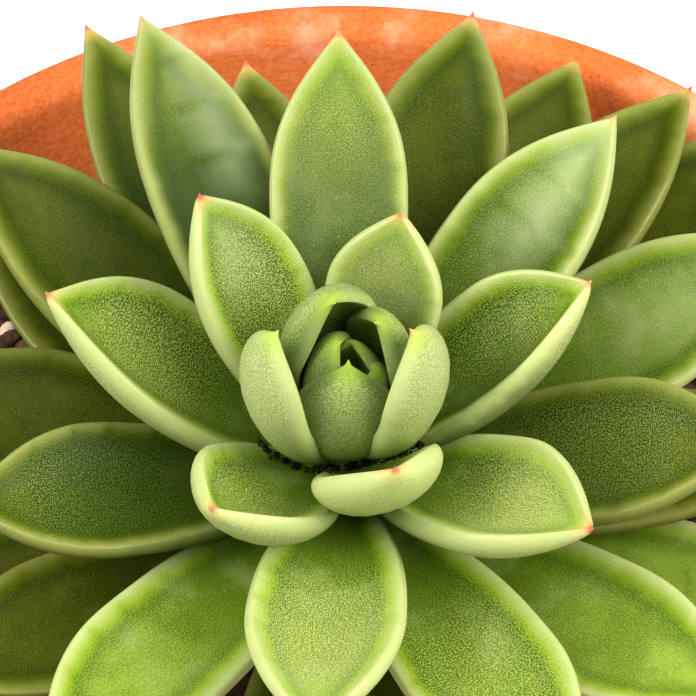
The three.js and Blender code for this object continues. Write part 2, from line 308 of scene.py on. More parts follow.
DEPARTURES = {
    0: dict(azimuth=70, length=12.5, width=9, rise=66, tip_rise=112, reach=1.2, wrap=66),
    1: dict(azimuth=-20, length=12.5, width=8.5, rise=67, tip_rise=105, reach=1.6, wrap=66),
    2: dict(azimuth=172, length=16.2, width=11.5, rise=72, tip_rise=124, reach=1.6, sway=-0.6),
    3: dict(azimuth=40, length=19.2, width=12, rise=57, tip_rise=131, reach=3.4, wrap=64,
            roll=-14, sway=-0.6),
    4: dict(azimuth=-93, length=18.7, width=12.3, rise=57, tip_rise=134, reach=2.2,
            wrap=60, sway=0.5),
    5: dict(azimuth=119, length=24, width=14.8, rise=56.5, tip_rise=137, reach=3.2,
            wrap=72, roll=18, sway=-0.3),
    6: dict(azimuth=-21, length=26.3, width=13.4, rise=50, tip_rise=118, reach=3, lift=1),
    7: dict(azimuth=204.5, length=26.7, width=12, rise=52, tip_rise=116, reach=3.2,
            wrap=50, sway=-0.5, lift=0.8),
    8: dict(turn=1.5, length=26.2, width=14.2, rise=45, tip_rise=75.5, wrap=37),
    9: dict(turn=-3, length=27.2, width=15.6, rise=42, tip_rise=78, wrap=48, roll=3),
    10: dict(turn=-20.5, length=33.4, width=15.5, rise=44, tip_rise=72.5, roll=12.5,
             sway=1.4, lift=-0.3),
    11: dict(turn=3.5, length=32, width=18.2, rise=29.5, tip_rise=53.5, wrap=67, roll=-10,
             sway=-0.3, lift=0.5),
    12: dict(turn=-7, length=26, width=17.8, rise=26.5, tip_rise=64, wrap=54, sway=0.6, lift=0.4),
    13: dict(turn=-8, length=45, width=16.8, rise=31.5, tip_rise=48, wrap=38, roll=-4, sway=-0.7),
    14: dict(turn=0.5, length=33.7, width=18.1, rise=25, tip_rise=39, wrap=63, roll=3,
             sway=-0.5, lift=0.8),
    15: dict(turn=-19, length=36.6, width=19.4, rise=28, tip_rise=49, wrap=53, roll=15.5),
    16: dict(length=46, width=17.8, rise=25.6, tip_rise=30.7, wrap=43, roll=-3, sway=-0.2),
    17: dict(turn=-4.5, length=43, width=19, rise=20, tip_rise=31, wrap=50, lift=0.4),
    18: dict(turn=-13, length=52.5, width=16.4, rise=33.7, tip_rise=41.8, wrap=33, roll=-3.6,
             lift=0.2),
    19: dict(turn=-2.5, length=43.7, width=20.5, rise=16.2, tip_rise=30.7, wrap=35.5, sway=-0.5),
    20: dict(turn=-24, length=40.2, width=18.2, rise=9.7, tip_rise=25, wrap=44, roll=-7.7,
             sway=1.1, lift=0.6),
    21: dict(turn=-7, length=52, width=19, rise=20, tip_rise=38, wrap=40),
    22: dict(turn=-5, length=48, width=18.5, rise=8, tip_rise=22, wrap=30),
    23: dict(turn=-21.5, length=53.5, width=19.1, rise=18, tip_rise=34, wrap=31),
    24: dict(turn=-2.5, length=53.5, width=20.8, rise=10, tip_rise=26, wrap=31),
    25: dict(turn=-19, length=48, width=18.4, rise=8, tip_rise=20, wrap=33, sway=1.2),
    26: dict(turn=-9, width=17, rise=14, tip_rise=32),
    27: dict(turn=-12, length=50, width=18.5, rise=5.5, tip_rise=18, wrap=34, roll=8),
    28: dict(turn=-28.5, length=48, width=20.5, rise=3.5, tip_rise=19),
    29: dict(turn=-8.5, length=61, width=19, rise=8, tip_rise=14, wrap=40, roll=-8, sway=-0.9,
             lift=0.7),
    30: dict(turn=7.5, rise=0, tip_rise=13),
    31: dict(turn=-26, length=61, width=16.5, rise=13, tip_rise=25, wrap=30),
    33: dict(turn=-22),
    36: dict(turn=-38, length=52.5, width=18, rise=2, tip_rise=15),
    37: dict(turn=5, length=62, width=21, rise=6, tip_rise=20),
    39: dict(turn=-16),
    40: dict(turn=-2.5, length=50, width=19, rise=0, tip_rise=14),
    41: dict(turn=-20),
    42: dict(turn=-7, length=64, width=21, rise=5, tip_rise=14),
    44: dict(turn=-22),
}


def along(pairs, x):
    """The value at x between the pairs' stops."""
    return float(np.interp(x, [p[0] for p in pairs], [p[1] for p in pairs]))


def leaf_shape(n):
    """Everything that sets leaf n apart, in millimetres and degrees."""
    shape = {name: along(pairs, n) for name, pairs in GROWTH.items()}
    shape.update(azimuth=FIRST_AZIMUTH - GOLDEN_ANGLE * n, turn=0, lift=0, roll=0, sway=0)
    shape.update(DEPARTURES.get(n, {}))
    shape["azimuth"] += shape["turn"]
    shape["height"] = HEART_HEIGHT - INTERNODE * (n - HEART_LEAF) + shape["lift"]
    return shape


def draw(i, salt):
    """A repeatable draw between 0 and 1 for item i."""
    s = math.sin(i * 12.9898 + salt * 78.233) * 43758.5453
    return s - math.floor(s)


print("leaf 0:", leaf_shape(0))

# %% [markdown]
# ## One leaf
# A leaf of this plant is a fleshy spoon. Its upper face is a shallow channel, its back is full
# and round, its margins are blunt, and it ends in a small hard point. A globe is a good start: it
# is closed, and its rings and meridians already run round and along the leaf, with one pole at
# the root and the other at the point. Edit-mode tools could pinch and bend it, but the leaf has
# to lie where its solid lies, so each ring is placed by the same rule as the solid's.
# While the rings are placed, the leaf also notes where on it each corner lies. The skin's
# pattern reads those notes later.

# %% The leaf's outline, flesh and midrib
LEAF_MERIDIANS = 44
LEAF_RINGS = 40
POINT_LENGTH = 0.6
POINT_RADIUS = 0.4
THICKEST_AT = 0.35
BASE_THICKNESS = 0.7
UPPER_SHARE = 0.25
BEND = 1.3
RING_CROWDING = 1.35


def spoon(s):
    """Half-width along the leaf, as a fraction of its widest."""
    q = 1 - np.clip(s, 0, WIDEST_AT) / WIDEST_AT
    swell = BASE_WIDTH + (1 - BASE_WIDTH) * (1 - q * q)
    u = np.clip((s - WIDEST_AT) / (1 - WIDEST_AT), 0, 1)
    close = (1 - u ** 2.1) ** 0.9 * (1 - 0.25 * u ** 6)
    return np.where(s < WIDEST_AT, swell, close)


def flesh(s):
    """Thickness along the leaf, as a fraction of its thickest."""
    root = np.sin(np.clip(s, 0, THICKEST_AT) / THICKEST_AT * math.pi / 2)
    thin = BASE_THICKNESS + (1 - BASE_THICKNESS) * root
    u = np.clip((s - THICKEST_AT) / (1 - THICKEST_AT), 0, 1)
    return np.where(s < THICKEST_AT, thin, (1 - u ** 3) ** 0.8)


def midrib(shape, stops):
    """Radius, height and slope of the midrib at each stop along the leaf."""
    fine = np.linspace(stops[0], stops[-1], 800)
    bend = shape["tip_rise"] - shape["rise"]
    slope = np.radians(shape["rise"] + bend * np.clip(fine, 0, 1) ** BEND)
    step = np.diff(fine) * shape["length"]
    middle = (slope[1:] + slope[:-1]) / 2
    start = np.radians(shape["rise"])
    radius = np.r_[0, np.cumsum(np.cos(middle) * step)] + shape["reach"] - ROOT * math.cos(start)
    height = np.r_[0, np.cumsum(np.sin(middle) * step)] + shape["height"] - ROOT * math.sin(start)
    return [np.interp(stops, fine, values) for values in (radius, height, slope)]


# %% Where each corner of the globe goes
def place_corners(globe, n):
    """Leaf n's corners in millimetres, with each one's turn, ring and share of the length."""
    shape = leaf_shape(n)
    length = shape["length"]
    turn = np.arctan2(globe[:, 1], globe[:, 0])
    t = 1 - np.arccos(np.clip(globe[:, 2], -1, 1)) / math.pi
    first = -ROOT / length
    s = first + (1 - first) * (1 - (1 - t) ** RING_CROWDING)
    blade = s * length / (length - POINT_LENGTH)
    stops = np.unique(np.round(s, 6))
    radius, height, slope = (np.interp(s, stops, line) for line in midrib(shape, stops))

    point = POINT_RADIUS * np.clip((1 - s) * length / (2 * POINT_LENGTH), 0, 1) ** 0.8
    wave = 1 + 0.009 * np.sin(9 * s + n) + 0.004 * np.sin(21 * s + 2.3 * n)
    half = np.hypot(shape["width"] / 2 * spoon(blade) * wave, point)
    thick = np.hypot(shape["thickness"] * flesh(blade) + 0.3 * (blade < 1), 1.6 * point)
    thick *= np.clip((1 - s) / 0.004, 0, 1)
    half *= np.clip((s - first) / 0.01, 0, 1)

    v = np.sign(np.cos(turn)) * np.abs(np.cos(turn)) ** 0.8
    rise_above = UPPER_SHARE * thick * np.sqrt(np.clip(1 - v ** 4, 0, 1))
    hang_below = (UPPER_SHARE - 1) * thick * np.sqrt(np.clip(1 - np.abs(v) ** 3, 0, 1))
    face = np.where(np.sin(turn) > 0, rise_above, hang_below)
    wrap = math.radians(shape["wrap"])
    x = half / wrap * np.sin(v * wrap) - np.sin(v * wrap) * face
    y = half / wrap * (1 - np.cos(v * wrap)) + np.cos(v * wrap) * face

    azimuth = math.radians(shape["azimuth"])
    out = np.array([math.cos(azimuth), math.sin(azimuth), 0])
    side = np.array([-math.sin(azimuth), math.cos(azimuth), 0])
    up = np.array([0, 0, 1.0])
    roll = np.radians(shape["roll"] * np.clip(s, 0, 1))[:, None]
    normal = -out * np.sin(slope)[:, None] + up * np.cos(slope)[:, None]
    across = side * np.cos(roll) + normal * np.sin(roll)
    raised = normal * np.cos(roll) - side * np.sin(roll)
    spine = out * radius[:, None] + up * height[:, None] + side * (shape["sway"] * s * s)[:, None]
    return spine + across * x[:, None] + raised * y[:, None], turn, t, s


# %% [markdown]
# ## Notes for the skin
# The skin's pattern has cells of a quarter of a millimetre, and its pale band follows the margin
# at a fixed width. Both need true distances over the surface. Each ring of the globe is walked
# from the middle of the upper face round to the middle of the back, and the distance goes to the
# leaf's UV map, with the distance along the leaf. The first of three notes, "place", says how far
# each corner is from the margin, which share of the length it lies at, and how far it is from the
# point.

# %% Measure each ring
def measure_rings(corners, turn, t):
    """Each corner's distance from the upper midrib round its ring, and from the margin."""
    ring = np.round(t * LEAF_RINGS).astype(int)
    inner = np.flatnonzero((ring > 0) & (ring < LEAF_RINGS))
    grid = inner[np.lexsort((turn[inner], ring[inner]))].reshape(LEAF_RINGS - 1, LEAF_MERIDIANS)
    quarter = LEAF_MERIDIANS // 4
    start = int(np.argmin(np.abs(turn[grid[0]] - math.pi / 2)))
    around = np.zeros(len(corners))
    margin = np.zeros(len(corners))
    for way in (1, -1):
        walk = grid[:, (start - way * np.arange(2 * quarter + 1)) % LEAF_MERIDIANS]
        steps = np.linalg.norm(np.diff(corners[walk], axis=1), axis=2)
        far = np.c_[np.zeros(len(walk)), np.cumsum(steps, axis=1)]
        around[walk] = way * far
        margin[walk] = far[:, quarter:quarter + 1] - far
    return around, margin


UNDER_THE_BACK = 0.97


def note_uv(leaf, around, s_mm):
    """The leaf's UV map: across and along its skin in millimetres, parted under the back."""
    mesh = leaf.data
    corner = np.empty(len(mesh.loops), dtype=np.int32)
    mesh.loops.foreach_get("vertex_index", corner)
    sizes = np.empty(len(mesh.polygons), dtype=np.int32)
    mesh.polygons.foreach_get("loop_total", sizes)
    face = np.repeat(np.arange(len(sizes)), sizes)
    total = np.zeros(len(sizes))
    back = np.abs(around) > UNDER_THE_BACK * np.abs(around).max()
    np.add.at(total, face, np.where(back[corner], 0, around[corner]))
    sign = np.sign(total)[face]
    across = np.where(np.abs(around[corner]) > 0, np.abs(around[corner]) * sign, 0)
    uv = np.stack([across, s_mm[corner]], axis=1).astype(np.float32)
    mesh.uv_layers[0].data.foreach_set("uv", uv.ravel())


# %% [markdown]
# ## What sets single leaves apart
# No two leaves look the same, so short tables hold what is special about a leaf: how red its
# point is, how crisp its speckle is, a painted sheen on its face as strength, middle and
# half-width in millimetres, how much painted shade darkens it and painted light brightens it away
# from the margins, and a colour that is riper or younger than its place says; a riper one is also
# painted shade, a younger one painted light. The second note, "mood", holds the age, the
# crispness and the blush. The third, "tone", holds the painted sheen, shade and light.

# %% Model the leaves
CRISP_LEAVES = 18
OUTER_CRISP = 0.2
BLUSH = {6: 0.35, 8: 0.6, 9: 0.8, 11: 0.5, 12: 0.55, 13: 0.6, 15: 0.8, 16: 0.35, 18: 0.3}
CRISP = {13: 0.8, 16: 0.5, 18: 0.3, 19: 0.9, 20: 1.0, 22: 0.8, 24: 0.35, 25: 0.4, 27: 0.35}
# A painted sheen: a pale highlight streak put into the leaf's colour.
SHEEN = {10: (0.12, 0, 6.5), 16: (0.3, 0, 6), 18: (0.3, -3, 4), 24: (0.15, 0, 6.5)}
# Painted shade and painted light: the first table darkens a leaf away from its margins towards its
# foot, the second brightens it towards its point.
PAINTED_SHADE = {
    4: 0.3, 5: 0.5, 8: 0.65, 11: 0.45, 13: 0.75, 16: 0.5, 18: 0.9, 19: 0.35, 20: 0.65, 23: 0.35,
    24: 0.25, 27: 0.2, 31: 0.6,
}
PAINTED_GLOW = {8: 0.2, 9: 0.3, 13: 0.1, 14: 0.18, 17: 0.15}
# An older age also darkens a leaf as painted shade, a younger one brightens it as painted light.
RIPE_AND_SHADED = {13: 15.5, 17: 8, 18: 18, 19: 20, 22: 12, 24: 16, 25: 12, 27: 12, 40: 14}


def add_leaf(n):
    """Leaf n as a finished mesh, with the notes that its skin reads."""
    deselect()
    bpy.ops.mesh.primitive_uv_sphere_add(segments=LEAF_MERIDIANS, ring_count=LEAF_RINGS, radius=1)
    leaf = bpy.context.object
    leaf.name = f"leaf_{n:02d}"
    leaf.data.name = leaf.name
    globe = np.empty(len(leaf.data.vertices) * 3, dtype=np.float32)
    leaf.data.vertices.foreach_get("co", globe)
    corners, turn, t, s = place_corners(globe.reshape(-1, 3).astype(float), n)
    leaf.data.vertices.foreach_set("co", (corners * MM).astype(np.float32).ravel())
    around, margin = measure_rings(corners, turn, t)
    length = leaf_shape(n)["length"]
    note_uv(leaf, around, s * length)
    near_tip = np.linalg.norm(corners - corners[np.argmax(s)], axis=1)
    age = RIPE_AND_SHADED.get(n, n) / LEAF_COUNT
    crisp = CRISP.get(n, 1.0 if n < CRISP_LEAVES else OUTER_CRISP)
    blush = BLUSH.get(n, float(n >= HEART_LEAF))
    strength, middle, reach = SHEEN.get(n, (0, 0, 1))
    sheen = strength * np.clip(1 - np.abs(around - middle) / reach, 0, 1)
    shade, painted_glow = np.full_like(s, PAINTED_SHADE.get(n, 0)), np.full_like(s, PAINTED_GLOW.get(n, 0))
    notes = {
        "place": np.stack([margin, s, near_tip], axis=1),
        "mood": np.tile([age, crisp, blush], (len(s), 1)),
        "tone": np.stack([sheen, shade, painted_glow], axis=1),
    }
    for name, values in notes.items():
        note = leaf.data.attributes.new(name, "FLOAT_VECTOR", "POINT")
        note.data.foreach_set("vector", values.astype(np.float32).ravel())
    leaf.data.update()
    bpy.ops.object.shade_smooth()
    return leaf


leaves = [add_leaf(n) for n in range(LEAF_COUNT)]
print("leaves:", len(leaves), "faces each:", len(leaves[0].data.polygons))

# %% [markdown]
# ## The leaves' skin
# The upper face is a dark green net with a paler dot in each mesh. Towards the margin the green
# turns yellow and then into a pale translucent band. The back is paler and greyer under its wax.
# Each point is coral red with a warm halo, and the foot of each leaf is a strong olive green.
# Outer leaves are older, and so darker and browner; on the lower outer leaves that darkening is
# also painted shade. One class reads the notes once, and holds the patterns that all these colours
# share.

# %% Notes and patterns of the skin
CELLS_PER_MM = 4.0
CELL_DISORDER = 0.7


class LeafSkin(Finish):
    """A leaf's notes as wires, with the patterns that its colours share."""

    def __init__(self):
        super().__init__("leaf_skin", "leaf")
        self.margin, self.s, self.near_tip = self.parts(self.read("place"))
        self.age, self.crisp, self.blush = self.parts(self.read("mood"))
        self.sheen, self.shade, self.painted_glow = self.parts(self.read("tone"))
        self.spot = self.node("TexCoord", output="Object")
        self.clouds = self.noise(self.spot, 260, 3.0, 0.6)
        self.smudge = self.noise(self.spot, 110, 4.0, 0.62)
        # The old leaves' darker, browner colour is partly their own and partly painted shade on the
        # lower outer leaves.
        self.older_and_shaded = self.step(self.age, 0.27, 0.48)
        self.top = self.step(self.margin, -0.3, 0.3)
        self.rim = self.step(self.margin.size(), 0.55, 0.1)
        self.edge = self.aged_and_shaded((174, 184, 124), (124, 130, 62))
        self.dots = self.speckle()

    def aged_and_shaded(self, young, old):
        """A colour that turns from the young leaves' to the old leaves', whose darkness is partly
        painted shade.
        """
        return self.blend(self.older_and_shaded, tint(*young), tint(*old))

    def speckle(self):
        """Near 1 on the dots and 0 on the net between them."""
        skin = self.node("UVMap", {"uv_map": leaves[0].data.uv_layers[0].name})
        across, along_leaf, _ = self.parts(skin)
        wander = self.noise(self.spot, 700, 2.0, 0.6)
        lookup = self.node("CombineXYZ", output="Vector", X=across + wander * 0.2, Y=along_leaf)
        sown = {"voronoi_dimensions": "2D", "feature": "F1"}
        cells, lot = [self.node("TexVoronoi", sown, output=out, Vector=lookup,
                                Scale=CELLS_PER_MM, Randomness=CELL_DISORDER)
                      for out in ("Distance", "Color")]
        luck, _, _ = self.parts(lot)
        return self.step(cells, 0.42, 0.18) * (luck * 0.5 + 0.5)


print("cells across a millimetre:", CELLS_PER_MM)

# %% The two sides of a leaf
def upper_face(f):
    """The speckled face, with a lime band and a pale one along its margins."""
    green = f.aged_and_shaded((132, 158, 52), (64, 72, 4))
    green = f.blend(f.step(f.s, 0.72, 0.3) * 0.85, green, f.aged_and_shaded((84, 112, 0), (46, 54, 0)))
    deep = f.aged_and_shaded((72, 108, 0), (40, 54, 0))
    pale = f.aged_and_shaded((152, 172, 84), (86, 96, 28))
    green = f.blend(f.step(f.smudge, 0.5, 0.34) * 0.55, green, deep)
    green = f.blend(f.step(f.smudge, 0.5, 0.7) * 0.5, green, pale)
    near = f.margin + (f.clouds - 0.5) * 1.2 + (0.5 - f.dots) * f.crisp * 0.8
    green = f.blend(f.step(near, 5.6, 3.0) * 0.8, green, deep)

    net = f.blend(0.7, green, tint(30, 54, 0))
    dot = f.blend(0.8, green, f.aged_and_shaded((208, 222, 120), (160, 172, 90)))
    sharp = (f.step(f.s, 0.2, 0.5) * 0.75 + 0.25) * f.step(f.s, 0.98, 0.72) * f.crisp
    face = f.blend(sharp, green, f.blend(f.dots, net, dot))
    lime = f.aged_and_shaded((146, 172, 40), (84, 98, 8))
    face = f.blend(f.step(near, 3.4, 1.7) * 0.7, face, lime)
    return f.blend(f.step(near, 2.3, 0.3) * 0.85, face, f.edge)


def waxy_back(f):
    """The paler back. Its foot and the sides of the bud's leaves are a stronger green, and on the
    bud's inner leaves that darker green is partly painted shade.
    """
    inner = f.step(f.age, 0.13, 0.1)
    back = f.aged_and_shaded((172, 183, 118), (98, 108, 42))
    # Painted shade inside the bud: the inner leaves' backs, and more so their sides, turn a darker
    # green.
    back = f.blend(inner * 0.35, back, tint(96, 126, 20))
    back = f.blend(f.step(f.margin, -4.0, -1.2) * inner * 0.7, back, tint(58, 94, 0))
    back = f.blend(f.step(f.s, 0.55, 0.1) * 0.85, back, tint(84, 114, 0))
    net = f.blend(0.55, back, tint(60, 90, 4))
    dot = f.blend(0.6, back, tint(228, 236, 166))
    back = f.blend(f.step(f.margin, -0.6, -3.0) * 0.8, back, f.blend(f.dots, net, dot))
    return f.blend(f.step(f.margin, -2.4, -0.2) * 0.4, back, f.edge)


def tinged_point(f, colour):
    """A lime point on the bud's leaves, and a red one in a warm halo on those that blush."""
    bud = f.step(f.age, 0.17, 0.155)
    halo = f.step(f.near_tip, 4.0, 1.0)
    colour = f.blend(halo * bud * 0.5, colour, tint(152, 184, 28))
    colour = f.blend(f.step(f.near_tip, 3.0, 0.8) * f.blush * 0.45, colour, tint(214, 168, 92))
    colour = f.blend(f.rim * halo * f.blush * 0.35, colour, tint(204, 118, 84))
    return f.blend(f.step(f.near_tip, 1.3, 0.4) * f.blush * 0.85, colour, tint(186, 64, 70))


# %% Leaf finish
def leaf_finish():
    f = LeafSkin()
    colour = f.blend(f.top, waxy_back(f), upper_face(f))
    # Painted shade and painted light: away from the bright margins, each leaf is darkened towards
    # its foot and lightened towards its point.
    inward = f.step(f.margin.size(), 0.3, 2.2)
    colour = f.blend(f.step(f.s, 0.95, 0.55) * inward * f.shade, colour, tint(30, 52, 0))
    colour = f.blend(f.step(f.s, 0.3, 0.7) * inward * f.painted_glow, colour, tint(210, 224, 140))

    young = 1 - f.older_and_shaded
    # A painted sheen: a pale streak down the face of some leaves, blended in with the real wax
    # bloom; the streak also raises the coat.
    painted_sheen = f.sheen * f.step(f.s, 0.45, 0.7) * f.top
    bloom = f.step(f.smudge, 0.48, 0.78)
    colour = f.blend(painted_sheen + bloom * young * 0.1, colour, tint(190, 202, 158))
    dust = f.node("TexVoronoi", {"feature": "F1"}, output="Distance", Vector=f.spot, Scale=900.0)
    fleck = f.step(dust, 0.11, 0.06) * f.step(f.smudge, 0.4, 0.6)
    colour = f.blend(fleck * young * 0.3, colour, tint(226, 230, 200))
    colour = tinged_point(f, colour)

    grain = f.bump(f.dots, 0.25, 0.0001)
    swell = f.bump(f.clouds, 0.3, 0.0006, grain)
    rough = 0.42 - f.dots * 0.05 + bloom * 0.1 - f.rim * 0.14
    coat = painted_sheen * 0.5 + bloom * young * 0.16 + f.rim * 0.4 + 0.02
    f.feed(Base_Color=colour, Roughness=rough, Normal=swell, Coat_Weight=coat)
    f.feed(Coat_Roughness=0.2, Specular_IOR_Level=0.06)
    f.feed(Subsurface_Weight=0.18, Subsurface_Radius=(0.9, 1.0, 0.2), Subsurface_Scale=0.0016)
    return f


leaf_skin = leaf_finish()
for leaf in leaves:
    leaf_skin.dress(leaf)
    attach(leaf, BODY)
    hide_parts("rosette")
print("leaf finish on", len(leaves), "leaves")

# %% [markdown]
# ## Turned forms
# The pot, the soil in it, the stem and the heart of the shoot are all round. A potter raises such
# a form ring by ring, and so can we: a circle is extruded upwards and scaled, again and again,
# along a list of radii and heights. The two open ends are closed last.

# %% Raise a form ring by ring
SHARPEST = math.radians(35)


def turned(name, stops, sides):
    """A closed round form through (radius, height) stops, in millimetres."""
    deselect()
    radius, height = stops[0]
    start = (0, 0, height * MM)
    bpy.ops.mesh.primitive_circle_add(vertices=sides, radius=radius * MM, location=start)
    piece = bpy.context.object
    piece.name = name
    piece.data.name = name
    bpy.ops.object.transform_apply(location=True)
    bpy.ops.object.mode_set(mode="EDIT")
    bpy.ops.mesh.select_all(action="SELECT")
    for next_radius, next_height in stops[1:]:
        lift = (0, 0, (next_height - height) * MM)
        bpy.ops.mesh.extrude_region_move(TRANSFORM_OT_translate={"value": lift})
        k = next_radius / radius
        bpy.ops.transform.resize(value=(k, k, 1), center_override=(0, 0, next_height * MM))
        radius, height = next_radius, next_height
    bpy.ops.mesh.edge_face_add()
    bpy.ops.mesh.select_all(action="DESELECT")
    bpy.ops.mesh.select_non_manifold()
    bpy.ops.mesh.edge_face_add()
    bpy.ops.mesh.select_all(action="SELECT")
    bpy.ops.mesh.normals_make_consistent(inside=False)
    bpy.ops.object.mode_set(mode="OBJECT")
    bpy.ops.object.shade_smooth_by_angle(angle=SHARPEST)
    return piece


def settle(piece, node):
    """The piece rides on the body and stands for its node."""
    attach(piece, BODY)
    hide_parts(node)


# %% [markdown]
# ## The pot
# A plain terracotta pot: a tapering wall, a deeper collar at the rim, softly rounded lips and
# three drain holes off the middle. The collar's two edges and the foot get small extra rings, so
# that they catch the light as pressed clay does. The holes are cut with a Boolean.

# %% Pot
POT_HEIGHT = 120
RIM_RADIUS = 77
NECK_RADIUS = 70
POT_BASE = 50
FLOOR = 8
INNER_TOP = 71.5
INNER_FLOOR = 44.5
DRAIN_COUNT = 3
DRAIN_RADIUS = 4.5
DRAIN_CIRCLE = 22


def inside_radius(z):
    """The pot's inner radius at height z."""
    return INNER_FLOOR + (INNER_TOP - INNER_FLOOR) * (z - FLOOR) / (POT_HEIGHT - FLOOR)


POT_STOPS = [
    (6, 0), (POT_BASE - 1.4, 0), (POT_BASE - 0.5, 0.3), (POT_BASE, 1.0), (POT_BASE + 0.3, 2.0),
    (NECK_RADIUS - 0.2, 91.6), (NECK_RADIUS + 0.4, 92.1), (RIM_RADIUS - 4, 92.6),
    (RIM_RADIUS - 2.9, 92.9), (RIM_RADIUS - 2.3, 93.5), (RIM_RADIUS - 2.1, 94.4),
    (RIM_RADIUS - 0.1, 117.6), (RIM_RADIUS - 0.3, 118.8), (RIM_RADIUS - 0.9, 119.6),
    (RIM_RADIUS - 1.8, POT_HEIGHT), (INNER_TOP + 1.6, POT_HEIGHT), (INNER_TOP + 0.6, 119.6),
    (INNER_TOP - 0.2, 118.6), (inside_radius(117), 117), (inside_radius(104), 104),
    (inside_radius(FLOOR + 4), FLOOR + 4), (INNER_FLOOR - 1.2, FLOOR + 1.2),
    (INNER_FLOOR - 4, FLOOR), (6, FLOOR),
]
pot = turned("clay_pot", POT_STOPS, 144)

deselect()
for i in range(DRAIN_COUNT):
    angle = 2 * math.pi * (i + 0.25) / DRAIN_COUNT
    place = Vector((DRAIN_CIRCLE * math.cos(angle), DRAIN_CIRCLE * math.sin(angle), FLOOR / 2)) * MM
    bpy.ops.mesh.primitive_cylinder_add(
        vertices=32, radius=DRAIN_RADIUS * MM, depth=2.5 * FLOOR * MM, location=place)
    drill = bpy.context.object
    cut = pot.modifiers.new("drain", "BOOLEAN")
    cut.operation = "DIFFERENCE"
    cut.object = drill
    deselect()
    bpy.context.view_layer.objects.active = pot
    pot.select_set(True)
    bpy.ops.object.modifier_apply(modifier="drain")
    bpy.data.objects.remove(drill)
settle(pot, "pot")
print("pot faces:", len(pot.data.polygons))

# %% [markdown]
# ## Fired clay
# Terracotta is never one orange. Cloudy patches come from the kiln, and the left side is painted
# darker, as painted shade. A chalky bloom from hard water gathers low on the wall and on the rim,
# fine rings run round the pot from the mould, and pits and grains of sand break its surface.

# %% Clay finish
def clay_finish():
    f = Finish("fired_clay", "terracotta")
    spot = f.node("TexCoord", output="Object")
    x, y, z = f.parts(spot)
    clouds = f.noise(spot, 28, 4.0, 0.6)
    grain = f.noise(spot, 1400, 3.0, 0.7)
    sand = f.node("TexVoronoi", {"feature": "F1"}, output="Distance", Vector=spot, Scale=700.0)
    rings = f.node("CombineXYZ", output="Vector", X=x * 8, Y=y * 8, Z=z * 700)
    lines = f.noise(rings, 1.0, 3.0, 0.6)
    chalk_cloud = f.noise(spot, 55, 5.0, 0.65)

    clay = f.blend(f.step(clouds, 0.3, 0.7), tint(196, 86, 32), tint(222, 118, 50))
    # Painted shade: the left side of the pot is darker.
    clay = f.blend(f.step(x, 0.04, -0.07) * 0.4, clay, tint(152, 62, 20))
    clay = f.blend(f.step(grain, 0.35, 0.7) * 0.3, clay, tint(236, 150, 78))
    clay = f.blend(f.step(lines, 0.45, 0.75) * 0.25, clay, tint(158, 66, 30))
    clay = f.blend(f.step(sand, 0.2, 0.1) * 0.4, clay, tint(122, 52, 26))
    low = f.step(z, 0.05, 0.0) * 0.5 + f.step(z, 0.112, 0.121) * 0.3
    chalk = f.step(chalk_cloud + low * 0.35, 0.55, 0.8)
    clay = f.blend(chalk * 0.5, clay, tint(232, 196, 170))

    pits = f.bump(sand, 0.25, 0.0002)
    skin = f.bump(grain, 0.3, 0.00015, pits)
    turned_rings = f.bump(lines, 0.3, 0.0004, skin)
    f.feed(Base_Color=clay, Roughness=0.86 - chalk * 0.08, Normal=turned_rings)
    f.feed(Specular_IOR_Level=0.3)
    return f


clay = clay_finish()
clay.dress(pot)
print("clay finish on", pot.name)

# %% [markdown]
# ## Soil
# The pot is filled with dark, crumbly potting mix. Its body is one more turned form with many
# rings on top and a plain hole for the stem. Two Displace modifiers, one broad and one fine,
# rough up the rings. Loose crumbs and pale grit are scattered over it afterwards.

# %% Soil body
SOIL_TOP = 102
SOIL_GAP = 0.3
STEM_RADIUS = 6.5
STEM_FOOT = 80.8
SOIL_RINGS = 44


def soil_stops():
    """The soil's rings: up the wall, in over the top and down the stem's hole."""
    edge = inside_radius(SOIL_TOP) - SOIL_GAP
    hole = STEM_RADIUS + SOIL_GAP
    stops = [(6, FLOOR + 0.3), (INNER_FLOOR - 5, FLOOR + 0.3), (INNER_FLOOR - 1.5, FLOOR + 2)]
    stops += [(inside_radius(FLOOR + 6) - SOIL_GAP, FLOOR + 6), (edge - 0.2, SOIL_TOP - 1.5)]
    for k in range(SOIL_RINGS + 1):
        part = k / SOIL_RINGS
        stops.append((edge + (hole + 0.4 - edge) * part, SOIL_TOP - 1.2 * (1 - part) ** 6))
    stops += [(hole, SOIL_TOP - 1), (hole, STEM_FOOT - 0.3)]
    return stops


def roughen(piece, low, high, grain, strength):
    """Moves the top's rings between two radii up and down with a cloudy texture."""
    group = piece.vertex_groups.new(name="top")
    for vertex in piece.data.vertices:
        radius = math.hypot(vertex.co.x, vertex.co.y) / MM
        if vertex.co.z > (SOIL_TOP - 1.6) * MM and low < radius < high:
            fade = min(1, (radius - low) / 3, (high - radius) / 3)
            group.add([vertex.index], fade, "REPLACE")
    texture = bpy.data.textures.new("crumble", "CLOUDS")
    texture.noise_scale = grain * MM
    texture.noise_depth = 3
    change = piece.modifiers.new("crumble", "DISPLACE")
    change.texture = texture
    change.texture_coords = "LOCAL"
    change.direction = "Z"
    change.strength = strength * MM
    change.vertex_group = "top"
    deselect()
    bpy.context.view_layer.objects.active = piece
    piece.select_set(True)
    bpy.ops.object.modifier_apply(modifier="crumble")
    piece.vertex_groups.clear()


soil = turned("soil_body", soil_stops(), 160)
for grain, strength in ((9, 3.0), (2.2, 1.6)):
    roughen(soil, STEM_RADIUS + 1, inside_radius(SOIL_TOP) - 0.5, grain, strength)
settle(soil, "soil")
print("soil faces:", len(soil.data.polygons))

